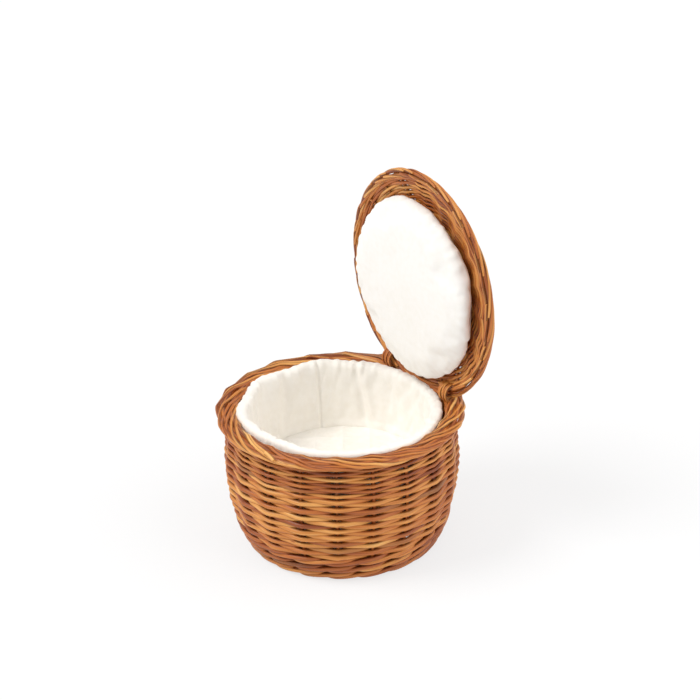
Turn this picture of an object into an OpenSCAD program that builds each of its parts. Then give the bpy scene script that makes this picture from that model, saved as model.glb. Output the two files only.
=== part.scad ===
// Round willow egg basket with a padded linen lining and a domed, padded lid on two willow loops.
// Sizes are in millimetres. The origin is on the floor, on the basket's axis. The hinge is at +Y.
// The lid is drawn open and upright. It closes by a quarter turn about the hinge line, along X.

/* [Wall] */
// Number of upright stakes round the wall, and of sticks at the lid's edge
stake_count = 20; // [12:4:28]
// Thickness of a stake
stake_d = 5; // [3:0.5:6]
// Radius of the circle of stakes where the wall stands upright
stake_top_r = 133.5; // [115:0.5:165]
// How far the stakes lean in from there to the floor
wall_lean = 26; // [12:1:36]
// Height at which the wall stands upright, close under the rim
wall_h = 160; // [135:1:200]

/* [Weave] */
// Thickness of a rod of the foot wale
foot_rod = 6.4; // [5:0.2:8]
// Number of rows in the foot wale
foot_rows = 5; // [3:1:7]
// Height taken by one row of the foot wale
foot_pitch = 7.4; // [6:0.1:9]
// Thickness of a weaving rod in the lower wall
rod_low = 5; // [3:0.2:6]
// Height taken by one row in the lower wall
pitch_low = 5; // [4:0.1:7]
// Height where the finer weave under the rim begins
fine_from = 122; // [90:1:140]
// Thickness of a weaving rod in the fine weave under the rim
rod_fine = 3.4; // [2:0.2:5]
// Height taken by one row of the fine weave
pitch_fine = 3.4; // [2.4:0.1:5]
// Gap left between crossing rods and stakes
weave_gap = 0.5; // [0.3:0.1:1]
// Gap left between one row and the next
row_gap = 0.3; // [0.2:0.1:0.6]

/* [Base] */
// Thickness of a base stick
base_stick_d = 6; // [4:0.5:8]
// Thickness of a rod of the base weave
base_rod = 4.6; // [3:0.2:6]
// Distance from one row of the base weave to the next
base_pitch = 5.4; // [4:0.1:8]
// Gap under the base weave, which the foot wale holds off the floor
base_lift = 0.4; // [0.3:0.1:2]
// Radius of the bound middle where the base sticks cross
base_hub_r = 22; // [20:0.5:30]

/* [Rim] */
// Width of the rolled rim border, from inside to outside
rim_w = 25; // [18:0.5:30]
// Height of the rim border
rim_t = 13; // [10:0.5:18]
// Thickness of the rods that show in the rim border
rim_rod = 7.2; // [6.8:0.2:9]
// Gap between the upper end of a stake and the rim border
rim_seat_gap = 0.3; // [0.2:0.1:0.5]

/* [Lining] */
// Thickness of the padded lining at the wall
lining_t = 16; // [8:0.5:22]
// Gap between the weave and the lining
lining_gap = 0.4; // [0.3:0.1:1]
// How far the lining's rolled top stays below the rim
lining_drop = 1.5; // [0.5:0.5:6]
// Width and depth of the slope inside the lining's rolled top
lining_slope = 14; // [6:0.5:15]
// Height of the quilted floor that the eggs lie on
floor_top = 92; // [60:1:110]
// Thickness of the quilted floor
floor_t = 6; // [3:0.5:12]

/* [Lid] */
// Outer radius of the lid's border
lid_r = 143.5; // [125:0.5:175]
// Width of the lid's border
lid_rim_w = 13; // [10:0.5:18]
// Thickness of the lid's border
lid_rim_t = 11; // [9:0.5:14]
// Thickness of the rods that show in the lid's border
lid_rim_rod = 7; // [6.6:0.2:9]
// Rise of the lid's dome above its border
lid_rise = 28; // [15:1:45]
// Thickness of a lid stick
lid_stick_d = 4.5; // [3:0.5:6]
// Thickness of a weaving rod in the lid
lid_rod = 4.6; // [3:0.2:5]
// Distance from one row of the lid's weave to the next
lid_pitch = 5.2; // [5.2:0.1:8]
// Radius inside which only every second stick goes on to the middle
lid_split_r = 63; // [50:1:75]
// Radius of the bound middle where the lid sticks cross
lid_hub_r = 18; // [17:0.5:24]
// How far forward of the rim's outer edge the back of the closed lid lies
lid_forward = 9.5; // [5:0.5:14]
// Gap between the closed lid and the rim
lid_seat_gap = 0.3; // [0.3:0.1:1]

/* [Lid pad] */
// Radius of the padded disc inside the lid
pad_r = 112.5; // [95:0.5:140]
// How far the pad laps over the outermost of the weave's rows behind it
pad_lap = 5.8; // [4:0.1:8]
// How far the pad's face stands proud of the middle of the lid's border
pad_proud = 23; // [14:0.5:28]
// Radius of the pad's rounded edge
pad_round = 14; // [6:0.5:18]
// How far the pad's middle lies from the lid's, towards the hinge
pad_shift = 3; // [0:0.5:5]
// Crown of the pad's face
pad_crown = 2; // [0.5:0.5:5]
// Gap between the pad and the lid's weave
pad_gap = 0.35; // [0.3:0.05:1]

/* [Hinge loops] */
// Thickness of the rod that the hinge loops are wound from
loop_rod = 3.5; // [2.5:0.1:5]
// Number of turns in a hinge loop
loop_turns = 3; // [2:1:4]
// Running gap between a hinge loop and the lid's border
loop_gap = 1; // [0.6:0.1:2]

/* [Hidden] */
$fn = 96;

willow = [0.80, 0.52, 0.29];
willow_dark = [0.66, 0.39, 0.20];
willow_pale = [0.88, 0.64, 0.40];
linen = [0.97, 0.96, 0.93];
wadding = [0.90, 0.88, 0.84];

// Every stake is one arc: upright at wall_h, leaning in by wall_lean at the floor.
lean_r = (wall_h ^ 2 + wall_lean ^ 2) / (2 * wall_lean);
function stake_r(z) = stake_top_r - lean_r + sqrt(lean_r ^ 2 - (wall_h - z) ^ 2);
// How far a weaving rod's middle passes in front of or behind what it weaves round. It goes
// further where the posts, count of them on a circle of radius r, stand so close that it slants.
function apart(post_d, rod_d) = (post_d + rod_d) / 2 + weave_gap;
function reach_of(post_d, rod_d, r, count) =
    apart(post_d, rod_d) / sqrt(1 - (apart(post_d, rod_d) / (r * tan(180 / count))) ^ 2);

foot_top = foot_rows * foot_pitch;
low_rows = round((fine_from - foot_top) / pitch_low);
low_row_h = (fine_from - foot_top) / low_rows;
low_rows_in_lower = floor(low_rows / 2);
fine_rows = floor((wall_h - fine_from) / pitch_fine);
stake_foot = 2;

// The rim border lies on the ends of the stakes.
rim_bottom = wall_h + stake_d / 3;
rim_mid_z = rim_bottom + rim_t / 2;
rim_top = rim_bottom + rim_t;
rim_mid_r = stake_top_r + stake_d * 0.8;

// The lid's border lies on the rim border. The hinge line passes through the middle of the lid's
// border where the loops hold it, halfway between the first two sticks on each side.
lid_mid_r = lid_r - lid_rim_w / 2;
loop_angle = 1.5 * 360 / stake_count;
loop_x = lid_mid_r * sin(loop_angle);
hinge_reach = lid_mid_r * cos(loop_angle);
hinge_y = rim_mid_r + rim_w / 2 - lid_forward - (lid_r - hinge_reach);
hinge_z = rim_top + lid_seat_gap + lid_rim_t / 2;
loop_w = loop_turns * loop_rod;
loop_in_r = lid_rim_w / 2 / cos(loop_angle) + loop_w / 2 * tan(loop_angle) + loop_gap;
loop_out_r = loop_in_r + loop_rod;
rest_open = 90;
swing_gap = 2;

// The lid's sticks are arcs of one sphere that rises by lid_rise from the inside of the border.
lid_in_r = lid_r - lid_rim_w;
dome_r = (lid_in_r ^ 2 + lid_rise ^ 2) / (2 * lid_rise);
function dome_slope(r) = asin(r / dome_r);
function dome_z(r) = lid_rise - dome_r + sqrt(dome_r ^ 2 - r ^ 2);
function lid_reach(r, count) = reach_of(lid_stick_d, lid_rod, r, count);
// The edge rows fill the ring between the pad's edge and the hinge loops. The outer rows lie
// behind the pad.
loop_near_r = norm([loop_x - loop_w / 2, hinge_reach - loop_out_r]);
edge_r = loop_near_r - lid_rod;
outer_r = pad_r - pad_lap;
edge_rows = max(floor((edge_r - outer_r) / lid_pitch), 0);
edge_pitch = (edge_r - outer_r) / max(edge_rows, 1);
outer_rows = floor((outer_r - lid_split_r) / lid_pitch) + 1;
centre_step = lid_rod / 2 + weave_gap;
centre_rows = floor((lid_split_r - lid_hub_r - 2 * centre_step) / lid_pitch) + 1;
function centre_r(row) = lid_split_r - centre_step - row * lid_pitch;

lining_out = reach_of(stake_d, foot_rod, stake_r(0), stake_count) + foot_rod / 2 + lining_gap;
lining_top = rim_top - lining_drop;
floor_low = floor_top - floor_t;
function lining_in_r(z) = stake_r(z) - lining_out - lining_t;
base_first_r = base_hub_r + base_rod / 2 + weave_gap;
function base_reach(r) = reach_of(base_stick_d, base_rod, r, stake_count / 2);
base_stick_z = base_lift + base_reach(base_first_r) + base_rod / 2;
base_top = base_stick_z + base_reach(base_first_r) + base_rod / 2;
hub_skin = 1;

// The side that a rod passes each stake on, 1 for outside and -1 for inside.
function randing(row) = [for (k = [0 : stake_count - 1]) (k + row) % 2 == 0 ? 1 : -1];
function waling(row) = [for (k = [0 : stake_count - 1]) (k + row) % 4 == 0 ? -1 : 1];
function pairing(row, count) = [for (k = [0 : count - 1]) (k + row) % 2 == 0 ? 1 : -1];

// Outline of one row seen from above, offset by shift, with a point at and between the stakes.
function row_outline(r, sides, reach, shift) =
    let (n = len(sides))
    [for (k = [0 : 2 * n - 1])
        let (side = (sides[floor(k / 2)] + sides[ceil(k / 2) % n]) / 2)
        (r + reach * side + shift) * [cos(180 * k / n), sin(180 * k / n)]];

// One row of the wall: a rod that passes outside some stakes and inside the others.
module wall_row(z, h, rod_d, sides) {
    r = stake_r(z + h / 2);
    reach = reach_of(stake_d, rod_d, r, stake_count);
    translate([0, 0, z])
        linear_extrude(h - row_gap)
            difference() {
                polygon(row_outline(r, sides, reach, rod_d / 2));
                polygon(row_outline(r, sides, reach, -rod_d / 2));
            }
}

// Corners of a rod's square section at angle a, pushed out by push along the slope's normal.
function section(a, r, z, slope, push, rod_d) =
    [for (corner = [[-1, -1], [1, -1], [1, 1], [-1, 1]])
        let (along = corner[0] * rod_d / 2,
             up = push + corner[1] * rod_d / 2,
             rr = r + along * cos(slope) + up * sin(slope),
             zz = z - along * sin(slope) + up * cos(slope))
        [rr * cos(a), rr * sin(a), zz]];

// A rod woven over and under sticks, on a slope, from stick first to stick last.
module woven_rod(r, z, slope, sides, reach, rod_d, first = 0, last = 0) {
    n = len(sides);
    closed = first == last;
    steps = closed ? 2 * n : 2 * (last - first);
    rings = [for (j = [0 : closed ? steps - 1 : steps])
        let (k = 2 * first + j,
             side = (sides[floor(k / 2) % n] + sides[ceil(k / 2) % n]) / 2)
        section(180 * k / n, r, z, slope, reach * side, rod_d)];
    m = len(rings);
    walls = [for (j = [0 : steps - 1], c = [0 : 3])
        let (a = 4 * j + c,
             b = 4 * j + (c + 1) % 4,
             d = 4 * ((j + 1) % m) + c,
             e = 4 * ((j + 1) % m) + (c + 1) % 4)
        each [[a, e, b], [a, d, e]]];
    caps = closed ? [] : [[0, 1, 2], [0, 2, 3],
                          [4 * m - 1, 4 * m - 2, 4 * m - 3], [4 * m - 1, 4 * m - 3, 4 * m - 4]];
    polyhedron([for (ring = rings) each ring], concat(walls, caps));
}

// A round bar along an arc in the XZ plane, about a centre, from one angle to another.
module arc_bar(centre_x, centre_z, arc_r, from_deg, to_deg, d) {
    translate([centre_x, 0, centre_z])
        rotate([90, 0, 0])
            rotate([0, 0, from_deg])
                rotate_extrude(angle = to_deg - from_deg)
                    translate([arc_r, 0]) circle(d = d);
}

// Section of a border: rods side by side in two layers, filled in between.
module border_section(w, t, rod, across) {
    for (i = [0 : across - 1], layer = [-1, 1])
        translate([-w / 2 + rod / 2 + i * (w - rod) / (across - 1), layer * (t - rod) / 2])
            circle(d = rod, $fn = 48);
    square([w - rod, t - rod], center = true);
}

// The space that the lid's border sweeps behind the hinge line, with swing_gap to spare.
module lid_sweep() {
    translate([0, hinge_y, hinge_z])
        rotate([0, 90, 0])
            rotate_extrude()
                intersection() {
                    translate([-hinge_reach, 0]) circle(lid_r + swing_gap, $fn = 180);
                    translate([0, -lid_r]) square([lid_r, 2 * lid_r]);
                }
}

// Places what is drawn closed, round the lid's own middle, into its open rest pose.
module lid_pose() {
    translate([0, hinge_y, hinge_z])
        rotate([-rest_open, 0, 0])
            translate([0, -hinge_reach, 0])
                children();
}

module base_sticks() {
    reach_r = stake_r(base_stick_z) - stake_d / 2 - weave_gap;
    start_r = base_stick_d / 2 / sin(180 / stake_count * 2) + weave_gap;
    color(willow_dark)
        translate([0, 0, base_stick_z])
            union() {
                cylinder(r = base_hub_r, h = base_stick_d + 2 * hub_skin, center = true);
                for (i = [0 : stake_count / 2 - 1])
                    rotate([0, 90, i * 720 / stake_count])
                        translate([0, 0, start_r])
                            cylinder(d = base_stick_d, h = reach_r - start_r);
            }
}

module base_weave() {
    last_r = stake_r(base_stick_z) - lining_out - base_rod / 2;
    rows = floor((last_r - base_first_r) / base_pitch);
    color(willow)
        for (row = [0 : rows])
            let (r = base_first_r + row * base_pitch)
            woven_rod(r, base_stick_z, 0, pairing(row, stake_count / 2), base_reach(r), base_rod);
}

module foot_wale() {
    color(willow_dark)
        for (row = [0 : foot_rows - 1])
            wall_row(row * foot_pitch, foot_pitch, foot_rod, waling(row + 2));
}

module stakes() {
    low = -asin((wall_h - stake_foot) / lean_r);
    high = asin((rim_bottom - rim_seat_gap - wall_h) / lean_r);
    color(willow_pale)
        for (k = [0 : stake_count - 1])
            rotate([0, 0, k * 360 / stake_count])
                arc_bar(stake_top_r - lean_r, wall_h, lean_r, low, high, stake_d);
}

module low_weave(first, last) {
    for (row = [first : last])
        wall_row(foot_top + row * low_row_h, low_row_h, rod_low, randing(row));
}

module side_weave_lower() {
    color(willow) low_weave(0, low_rows_in_lower - 1);
}

module side_weave_middle() {
    color(willow_pale) low_weave(low_rows_in_lower, low_rows - 1);
}

module side_weave_upper() {
    color(willow)
        for (row = [0 : fine_rows - 1])
            wall_row(fine_from + row * pitch_fine, pitch_fine, rod_fine, randing(low_rows + row));
}

module rim_border() {
    color(willow_dark)
        difference() {
            rotate_extrude()
                translate([rim_mid_r, rim_mid_z]) border_section(rim_w, rim_t, rim_rod, 4);
            lid_sweep();
        }
}

// The padded lining stands on the floor cushion and follows the wall's arc. Its top rolls over
// just below the rim.
module lining_section() {
    arc_x = stake_top_r - lean_r;
    top_out = stake_r(lining_top) - lining_out;
    top_in = top_out - lining_t;
    intersection() {
        difference() {
            translate([arc_x, wall_h]) circle(lean_r - lining_out, $fn = 360);
            translate([arc_x, wall_h]) circle(lean_r - lining_out - lining_t, $fn = 360);
        }
        polygon([[0, floor_low],
                 [stake_top_r, floor_low],
                 [stake_top_r, lining_top],
                 [top_in + lining_slope, lining_top],
                 [top_in, lining_top - lining_slope],
                 [0, lining_top - lining_slope]]);
    }
}

module lining_wall() {
    pocket_r = loop_out_r + lining_gap;
    pocket_w = loop_w + 2 * lining_gap;
    color(linen)
        difference() {
            rotate_extrude() lining_section();
            intersection() {
                lid_sweep();
                translate([-lid_r, hinge_y - lid_rim_t / 2 - lining_gap, 0])
                    cube([2 * lid_r, lid_r, 2 * hinge_z]);
            }
            for (side = [-1, 1])
                translate([side * loop_x, hinge_y, hinge_z])
                    rotate([0, 90, 0]) cylinder(r = pocket_r, h = pocket_w, center = true);
        }
}

module lining_floor() {
    color(linen)
        translate([0, 0, floor_low])
            cylinder(r1 = lining_in_r(floor_low) - lining_gap, r2 = lining_in_r(floor_top) - lining_gap,
                     h = floor_t);
}

// The cushion fills the basket from the base up to the quilted floor.
module floor_cushion() {
    low_z = base_top + lining_gap;
    high_z = floor_low - lining_gap;
    arc_x = stake_top_r - lean_r;
    color(wadding)
        rotate_extrude()
            intersection() {
                translate([arc_x, wall_h]) circle(lean_r - lining_out, $fn = 360);
                translate([0, low_z]) square([stake_top_r, high_z - low_z]);
            }
}

// A hinge loop: turns of rod side by side, round the hinge line and through the rim border.
module hinge_loop(side) {
    color(willow_pale)
        translate([side * loop_x, hinge_y, hinge_z])
            rotate([0, 90, 0])
                rotate_extrude() {
                    for (turn = [0 : loop_turns - 1])
                        translate([loop_in_r + loop_rod / 2, (turn + 0.5) * loop_rod - loop_w / 2])
                            circle(d = loop_rod, $fn = 48);
                    translate([loop_in_r + loop_rod / 2, 0])
                        square([loop_rod / 2, loop_w - loop_rod], center = true);
                }
}

module hinge_loop_left() {
    hinge_loop(-1);
}

module hinge_loop_right() {
    hinge_loop(1);
}

module lid_border() {
    color(willow_dark)
        lid_pose()
            rotate_extrude()
                translate([lid_mid_r, 0]) border_section(lid_rim_w, lid_rim_t, lid_rim_rod, 2);
}

// One lid stick, from radius from_r out to the border.
module lid_stick(from_r) {
    end_r = lid_in_r - weave_gap;
    arc_bar(0, lid_rise - dome_r, dome_r, 90 - dome_slope(end_r), 90 - dome_slope(from_r), lid_stick_d);
}

module lid_sticks() {
    start_r = lid_stick_d / 2 / sin(180 / stake_count * 2) + weave_gap;
    color(willow_pale)
        lid_pose()
            union() {
                translate([0, 0, dome_z(lid_hub_r / 2)])
                    cylinder(r = lid_hub_r, h = lid_stick_d + 2 * hub_skin, center = true);
                for (i = [0 : stake_count / 2 - 1])
                    rotate([0, 0, i * 720 / stake_count]) lid_stick(start_r);
            }
}

module lid_bye_sticks() {
    color(willow_pale)
        lid_pose()
            for (i = [0 : stake_count / 2 - 1])
                rotate([0, 0, (i + 0.5) * 720 / stake_count]) lid_stick(lid_split_r);
}

module lid_row(r, row, first = 0, last = 0) {
    woven_rod(r, dome_z(r), dome_slope(r), randing(row), lid_reach(r, stake_count), lid_rod,
              first, last);
}

// The rows outside the pad, and arcs of one more that stop on either side of each hinge loop.
module lid_weave_edge() {
    hinge_stick = stake_count / 4;
    arc_r = max(edge_r, outer_r) + lid_pitch;
    color(willow_dark)
        lid_pose() {
            lid_row(arc_r, 1, hinge_stick + 2, hinge_stick - 2 + stake_count);
            lid_row(arc_r, 1, hinge_stick - 1, hinge_stick + 1);
            for (row = [0 : 1 : edge_rows - 1])
                lid_row(edge_r - row * edge_pitch, row);
        }
}

module lid_weave_outer() {
    color(willow)
        lid_pose()
            for (row = [0 : 1 : outer_rows - 1])
                lid_row(outer_r - row * lid_pitch, edge_rows + row);
}

module lid_weave_centre() {
    color(willow)
        lid_pose()
            for (row = [0 : centre_rows - 1])
                let (r = centre_r(row))
                woven_rod(r, dome_z(r), dome_slope(r), pairing(row, stake_count / 2),
                          lid_reach(r, stake_count / 2), lid_rod);
}

// The pad fills the dome and stands proud of the border, with a crowned face and a round edge.
module lid_pad() {
    most_reach = lid_reach(centre_r(centre_rows - 1), stake_count / 2);
    back_r = dome_r - most_reach - lid_rod / 2 - pad_gap;
    crown_r = (pad_r ^ 2 + pad_crown ^ 2) / (2 * pad_crown);
    color(linen)
        lid_pose()
            intersection() {
                translate([0, 0, lid_rise - dome_r])
                    rotate_extrude()
                        intersection() {
                            circle(back_r, $fn = 360);
                            translate([0, back_r / 2]) square(back_r);
                        }
                translate([0, pad_shift, 0])
                    rotate_extrude()
                        intersection() {
                            translate([0, crown_r - pad_proud]) circle(crown_r, $fn = 720);
                            union() {
                                translate([0, pad_round - pad_proud]) square([pad_r, pad_proud + lid_rise]);
                                translate([0, -pad_proud]) square([pad_r - pad_round, pad_round * 2]);
                                translate([pad_r - pad_round, pad_round - pad_proud]) circle(pad_round);
                            }
                        }
            }
}

base_sticks();
base_weave();
foot_wale();
stakes();
side_weave_lower();
side_weave_middle();
side_weave_upper();
rim_border();
lining_wall();
lining_floor();
floor_cushion();
hinge_loop_left();
hinge_loop_right();
lid_border();
lid_sticks();
lid_bye_sticks();
lid_weave_edge();
lid_weave_outer();
lid_weave_centre();
lid_pad();
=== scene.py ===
"""Round willow basket with a padded linen lining and a domed, padded lid on two willow loops.

Lengths in the formulas are millimetres, as in the CAD source, and become metres in the meshes.
The lid is worked out closed, round its own middle, and placed upright by lid_place.
"""
import math

import bmesh
import bpy
import numpy as np
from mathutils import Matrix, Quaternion, Vector


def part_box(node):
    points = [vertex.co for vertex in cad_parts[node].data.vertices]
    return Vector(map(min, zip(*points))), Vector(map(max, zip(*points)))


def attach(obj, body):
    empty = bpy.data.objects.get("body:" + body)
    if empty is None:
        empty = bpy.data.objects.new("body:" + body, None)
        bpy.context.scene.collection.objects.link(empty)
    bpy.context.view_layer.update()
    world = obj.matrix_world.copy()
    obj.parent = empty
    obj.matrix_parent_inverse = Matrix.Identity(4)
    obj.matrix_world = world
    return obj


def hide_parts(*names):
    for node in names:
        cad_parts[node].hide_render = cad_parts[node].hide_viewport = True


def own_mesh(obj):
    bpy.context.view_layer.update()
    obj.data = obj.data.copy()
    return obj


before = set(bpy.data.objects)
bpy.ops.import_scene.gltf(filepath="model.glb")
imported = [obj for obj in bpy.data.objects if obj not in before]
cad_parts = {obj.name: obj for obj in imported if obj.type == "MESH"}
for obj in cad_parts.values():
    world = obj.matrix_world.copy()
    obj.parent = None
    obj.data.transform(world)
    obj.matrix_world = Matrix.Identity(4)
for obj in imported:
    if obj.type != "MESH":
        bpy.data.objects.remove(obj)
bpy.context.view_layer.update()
scene = bpy.context.scene
scene.view_settings.view_transform = "Standard"
MM = 0.001

# Camera: the view that fits the outlines of the rim and of the upright lid.
AIM = Vector((0.00784, 0.00975, 0.2478))
CAMERA_AWAY = 2.35
CAMERA_ROUND = math.radians(56.62)
CAMERA_UP = math.radians(25.98)
CAMERA_ROLL = math.radians(1.11)
CAMERA_LENS = 101.5
towards = Vector((math.sin(CAMERA_ROUND) * math.cos(CAMERA_UP),
                  -math.cos(CAMERA_ROUND) * math.cos(CAMERA_UP),
                  math.sin(CAMERA_UP)))
camera = bpy.data.objects.new("camera", bpy.data.cameras.new("camera"))
scene.collection.objects.link(camera)
camera.data.lens = CAMERA_LENS
camera.data.sensor_width = 36
camera.data.clip_end = 20
camera.location = AIM + towards * CAMERA_AWAY
rolled = Quaternion((0, 0, 1), -CAMERA_ROLL)
camera.rotation_euler = ((-towards).to_track_quat("-Z", "Y") @ rolled).to_euler()
scene.camera = camera

# Sizes from the CAD source.
STAKES = 20
STAKE_TOP_R = 133.5
WALL_LEAN = 26
WALL_H = 160
LEAN_R = (WALL_H ** 2 + WALL_LEAN ** 2) / (2 * WALL_LEAN)
FOOT_TOP = 37
FINE_FROM = 122
RIM_R = 137.5
HINGE_Y = 119.068
HINGE_Z = 180.467
HINGE_REACH = 122.068
LOOP_X = 62.197
LID_R = 143.5
LID_MID_R = 137
LID_HALF = (6.5, 5.5)
LID_RISE = 28
LID_STICK_R = 130.5
DOME_R = (LID_STICK_R ** 2 + LID_RISE ** 2) / (2 * LID_RISE)
LID_SPLIT_R = 63
BASE_Z = 11.05

# The wall's rods stand out further than the plain arc, most of all low down and a little at the foot.
WALL_BELLY = 8.7
FOOT_BELLY = 1.2

# The rim's middle line and half its width and height, and how much wider it is outside.
RIM_Z = 169.0
RIM_HALF = (12.5, 5.7)
RIM_SPREAD = 2.0

# The rods inside the rim and the lid's border: how far outwards and upwards from the middle line.
RIM_CORE = [(-8, 0), (-4, 1), (0, -0.8), (4, 1), (8.5, 0)]
LID_CORE = [(-2.6, 0.4), (2.2, -0.6)]


def stake_r(z):
    return STAKE_TOP_R - LEAN_R + math.sqrt(LEAN_R ** 2 - (WALL_H - z) ** 2)


def wall_r(z):
    """Radius of the stakes as the rods press them out: a little fuller than the plain arc."""
    t = min(max(z / WALL_H, 0), 1)
    low = t ** 0.7
    return stake_r(z) + WALL_BELLY * 4 * low * (1 - low) + FOOT_BELLY * (1 - t) ** 4


def dome_z(r):
    return LID_RISE - DOME_R + math.sqrt(DOME_R ** 2 - r ** 2)


def polar(r, angle, z):
    return (r * math.cos(angle), r * math.sin(angle), z)


def lid_place(p):
    """A point of the closed lid, round its own middle, in the upright rest pose."""
    return (p[0], HINGE_Y + p[2], HINGE_Z + HINGE_REACH - p[1])


def smooth(x):
    x = min(max(x, 0.0), 1.0)
    return x * x * (3 - 2 * x)


def socket_id(tree, label):
    for item in tree.interface.items_tree:
        if item.item_type == "SOCKET" and item.in_out == "INPUT" and item.name == label:
            return item.identifier
    raise KeyError(label)


def add_node(tree, kind, inputs=None, **settings):
    made = tree.nodes.new(kind)
    for key, value in settings.items():
        setattr(made, key, value)
    for key, value in (inputs or {}).items():
        if isinstance(value, bpy.types.NodeSocket):
            tree.links.new(value, made.inputs[key])
        else:
            made.inputs[key].default_value = value
    return made


def math_node(tree, operation, a, b=0.0):
    return add_node(tree, "ShaderNodeMath", {0: a, 1: b}, operation=operation).outputs[0]


def vector_node(tree, operation, a, b):
    made = add_node(tree, "ShaderNodeVectorMath", {0: a}, operation=operation)
    key = "Scale" if operation == "SCALE" else 1
    if isinstance(b, bpy.types.NodeSocket):
        tree.links.new(b, made.inputs[key])
    else:
        made.inputs[key].default_value = b
    return made.outputs[0]


def linear(r, g, b):
    """A colour given as it looks on screen, 0 to 255, in the values that a shader takes."""
    def one(c):
        c = c / 255
        return c / 12.92 if c <= 0.04045 else ((c + 0.055) / 1.055) ** 2.4
    return (one(r), one(g), one(b), 1)


def ramp(tree, value, stops):
    made = add_node(tree, "ShaderNodeValToRGB", {0: value})
    points = made.color_ramp.elements
    while len(points) < len(stops):
        points.new(0.5)
    for point, (place, colour) in zip(points, stops):
        point.position = place
        point.color = colour
    return made.outputs[0]


def blend(tree, share, one, other):
    """Colour one with a share of the other."""
    return add_node(tree, "ShaderNodeMix", {0: share, 6: one, 7: other}, data_type="RGBA").outputs[2]


def new_material(name, roughness, coat=0.0):
    made = bpy.data.materials.new(name)
    made.use_nodes = True
    tree = made.node_tree
    shader = tree.nodes["Principled BSDF"]
    shader.inputs["Roughness"].default_value = roughness
    shader.inputs["Coat Weight"].default_value = coat
    return made, tree, shader


def willow_material(name, shift=0.0):
    """Buff willow, boiled in its skin and varnished: every rod has its own tone, streaks along it,
    slow changes of colour and a few dark eyes, and painted shade darkens each rod's sides where they
    meet the neighbouring rods. It reads what the rods tree stores on the mesh."""
    made, tree, shader = new_material(name, 0.46, coat=0.10)
    shader.inputs["Coat Roughness"].default_value = 0.25
    along = add_node(tree, "ShaderNodeAttribute", attribute_name="along").outputs["Fac"]
    across = add_node(tree, "ShaderNodeAttribute", attribute_name="across").outputs["Vector"]
    tone = add_node(tree, "ShaderNodeAttribute", attribute_name="tone").outputs["Fac"]
    facing = add_node(tree, "ShaderNodeAttribute", attribute_name="facing").outputs["Fac"]
    place = add_node(tree, "ShaderNodeTexCoord").outputs["Object"]

    def on_rod(round_scale, long_scale):
        length = math_node(tree, "MULTIPLY", along, long_scale)
        start = math_node(tree, "MULTIPLY", tone, 61.0)
        lift = add_node(tree, "ShaderNodeCombineXYZ", {2: math_node(tree, "ADD", length, start)})
        return vector_node(tree, "ADD", vector_node(tree, "SCALE", across, round_scale), lift.outputs[0])

    def noise(coords, scale, detail, rough=0.6):
        return add_node(tree, "ShaderNodeTexNoise",
                        {"Vector": coords, "Scale": scale, "Detail": detail, "Roughness": rough}).outputs[0]

    streaks = noise(on_rod(2.6, 26.0), 1.0, 4.0)
    slow = noise(on_rod(0.35, 11.0), 1.0, 2.0)
    zones = noise(place, 9.0, 2.0)
    eyes = add_node(tree, "ShaderNodeTexVoronoi", {"Vector": on_rod(0.5, 24.0), "Scale": 1.0},
                    feature="F1").outputs["Distance"]
    eye = ramp(tree, eyes, [(0.07, (1, 1, 1, 1)), (0.13, (0, 0, 0, 1))])
    # Place on the colour ramp: the rod's own tone and each change along it, by its share.
    mix = math_node(tree, "MULTIPLY", tone, 0.34)
    for change, share in ((slow, 0.54), (streaks, 0.46), (zones, 0.30)):
        mix = math_node(tree, "ADD", mix, math_node(tree, "MULTIPLY", change, share))
    mix = math_node(tree, "ADD", mix, shift - 0.30)
    mix = math_node(tree, "SUBTRACT", mix, math_node(tree, "MULTIPLY", eye, 0.30))
    colour = ramp(tree, mix, [(0.06, linear(96, 36, 4)), (0.26, linear(150, 72, 20)),
                              (0.44, linear(192, 108, 40)), (0.60, linear(218, 144, 66)),
                              (0.78, linear(244, 186, 106)), (0.96, linear(255, 214, 146))])
    olive = ramp(tree, noise(on_rod(0.0, 3.0), 1.0, 1.0), [(0.57, (0, 0, 0, 1)), (0.66, (1, 1, 1, 1))])
    olive = math_node(tree, "MULTIPLY", olive, 0.4)
    colour = blend(tree, olive, colour, linear(150, 112, 58))
    # Painted shade: the sides of each rod that face its neighbours are darkened towards deep red-brown, in
    # place of the shade between the rods.
    crevice_shade = ramp(tree, facing, [(0.10, (1, 1, 1, 1)), (0.78, (0, 0, 0, 1))])
    crevice_shade = math_node(tree, "MULTIPLY", crevice_shade, 0.85)
    colour = blend(tree, crevice_shade, colour, linear(88, 26, 0))
    tree.links.new(colour, shader.inputs["Base Color"])
    rough = add_node(tree, "ShaderNodeMapRange", {"Value": streaks, "To Min": 0.36, "To Max": 0.60})
    tree.links.new(rough.outputs[0], shader.inputs["Roughness"])
    bump = add_node(tree, "ShaderNodeBump", {"Strength": 0.35, "Distance": 0.0006, "Height": streaks})
    tree.links.new(bump.outputs[0], shader.inputs["Normal"])
    return made


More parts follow.
